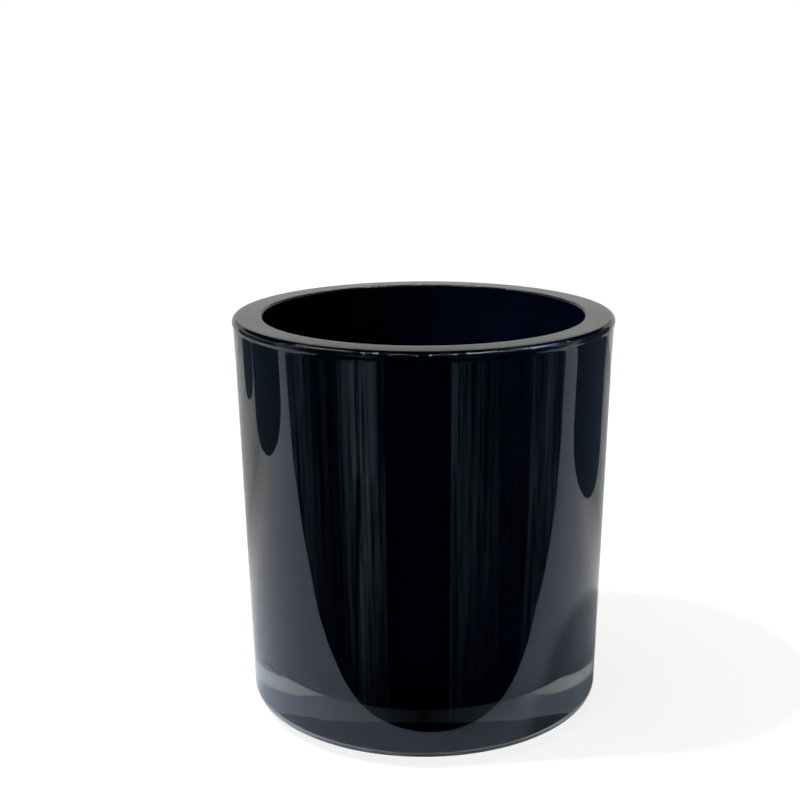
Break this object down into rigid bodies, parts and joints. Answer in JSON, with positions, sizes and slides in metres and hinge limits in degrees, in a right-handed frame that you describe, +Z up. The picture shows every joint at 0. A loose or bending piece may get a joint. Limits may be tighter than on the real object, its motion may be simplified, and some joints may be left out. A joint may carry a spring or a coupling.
{
  "type": "candle jar",
  "caption": "Round thick-walled clear glass jar with a rolled lip, lacquered black inside its bowl-shaped cavity, open at the top for a poured candle.",
  "frame": {"origin": "centre of the underside, at the level of the foot ring", "axes": "+Z up through the mouth; the jar is round, so +X and +Y are any two directions across it"},
  "size_m": [0.09, 0.09, 0.096],
  "materials": {
    "clear_glass": "fire-polished clear soda-lime glass, faint grey-green tint",
    "black_lacquer": "gloss blue-black sprayed lacquer"
  },
  "bodies": {
    "root": {"glass_jar": "clear_glass", "lacquer_lining": "black_lacquer"}
  },
  "joints": []
}
